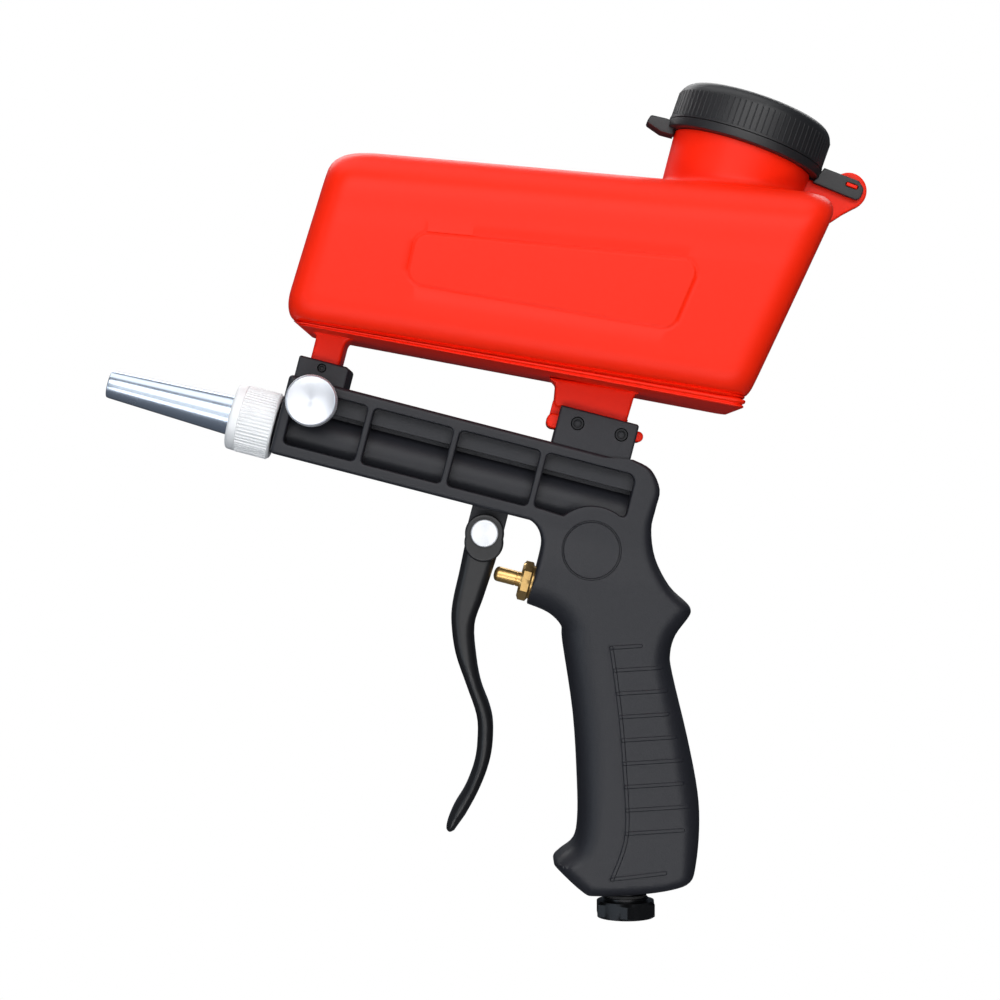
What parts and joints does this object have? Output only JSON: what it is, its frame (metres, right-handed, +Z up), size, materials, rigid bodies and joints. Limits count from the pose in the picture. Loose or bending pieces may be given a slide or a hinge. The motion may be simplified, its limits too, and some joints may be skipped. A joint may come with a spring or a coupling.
{
  "type": "hand-held gravity-feed blast gun",
  "caption": "Hand-held abrasive blast gun with a capped gravity-feed hopper, tapered nozzle, flow knob, trigger-operated air valve and threaded air inlet.",
  "frame": {"origin": "centre of the air inlet's lower face, on the inlet's axis", "axes": "+Z up along the inlet's axis, -X towards the nozzle end, the flow knob on the -Y side"},
  "size_m": [0.2735, 0.079, 0.299],
  "materials": {
    "body_black": "satin, finely grained black moulding",
    "hopper_red": "soft satin red polyethylene",
    "cap_black": "satin black moulding",
    "trigger_black": "semi-gloss black coating",
    "seal_rubber": "plain black rubber",
    "brass": "turned brass",
    "polished_steel": "polished steel",
    "dark_steel": "blackened steel",
    "bright_aluminium": "spun bright aluminium",
    "blasted_aluminium": "off-white bead-blasted aluminium"
  },
  "bodies": {
    "root": {"gun_body": "body_black", "hopper_shell": "hopper_red", "hopper_base": "hopper_red", "tether_strap": "cap_black", "front_saddle_screws": "dark_steel", "rear_saddle_screws": "dark_steel", "feed_seal": "seal_rubber", "mixing_sleeve": "polished_steel", "air_jet": "brass", "air_tube": "polished_steel", "nozzle_seal": "seal_rubber", "inlet_fitting": "dark_steel", "inlet_washer": "seal_rubber", "inlet_screen": "polished_steel", "gland_nut": "brass", "stem_packing": "seal_rubber", "valve_seat": "brass", "valve_spring": "polished_steel"},
    "trigger": {"trigger_lever": "trigger_black", "trigger_pin": "bright_aluminium", "trigger_clip": "dark_steel"},
    "stem": {"valve_stem": "brass", "valve_poppet": "seal_rubber"},
    "knob": {"flow_knob": "bright_aluminium", "flow_spindle": "polished_steel", "spindle_rings": "seal_rubber", "knob_grub_screw": "dark_steel", "spindle_clip": "dark_steel"},
    "nozzle": {"nozzle": "polished_steel"},
    "nozzle_nut": {"nozzle_nut": "blasted_aluminium"},
    "cap_lift": {"cap_gasket": "seal_rubber"},
    "cap_carrier": {"cap_liner": "polished_steel"},
    "cap": {"cap": "cap_black"}
  },
  "joints": [
    {"name": "trigger_pull", "type": "hinge", "parent": "root", "child": "trigger", "pos_m": [-0.0507, 0, 0.13794], "axis": [0, -1, 0], "range_deg": [0, 16], "stiffness_Nm_per_rad": 1.5, "springref_deg": -11.46},
    {"name": "stem_push", "type": "slide", "parent": "root", "child": "stem", "axis": [0.9681, 0, -0.2504], "range_m": [0, 0.0041], "deforming": ["valve_spring"]},
    {"name": "flow_turn", "type": "hinge", "parent": "root", "child": "knob", "pos_m": [-0.11144, 0, 0.18464], "axis": [0, -1, 0], "range_deg": [0, 90]},
    {"name": "nozzle_draw", "type": "slide", "parent": "root", "child": "nozzle", "axis": [-0.9681, 0, 0.2504], "range_m": [0, 0.0075]},
    {"name": "nut_turn", "type": "hinge", "parent": "nozzle", "child": "nozzle_nut", "pos_m": [-0.13243, 0, 0.17778], "axis": [-0.9681, 0, 0.2504], "range_deg": [0, 1800]},
    {"name": "cap_off", "type": "slide", "parent": "root", "child": "cap_lift", "axis": [0.3338, 0, 0.9426], "range_m": [0, 0.06]},
    {"name": "cap_rise", "type": "slide", "parent": "cap_lift", "child": "cap_carrier", "axis": [0.3338, 0, 0.9426], "range_m": [0, 0.009]},
    {"name": "cap_turn", "type": "hinge", "parent": "cap_carrier", "child": "cap", "pos_m": [0.0419, 0, 0.274], "axis": [0.3338, 0, 0.9426], "range_deg": [0, 810]}
  ],
  "couplings": [
    {"joint": "stem_push", "follows": "trigger_pull", "m_per_rad": 0.0145},
    {"joint": "nut_turn", "follows": "nozzle_draw", "rad_per_m": 4188.8},
    {"joint": "cap_rise", "follows": "cap_turn", "m_per_rad": 0.00063662}
  ]
}
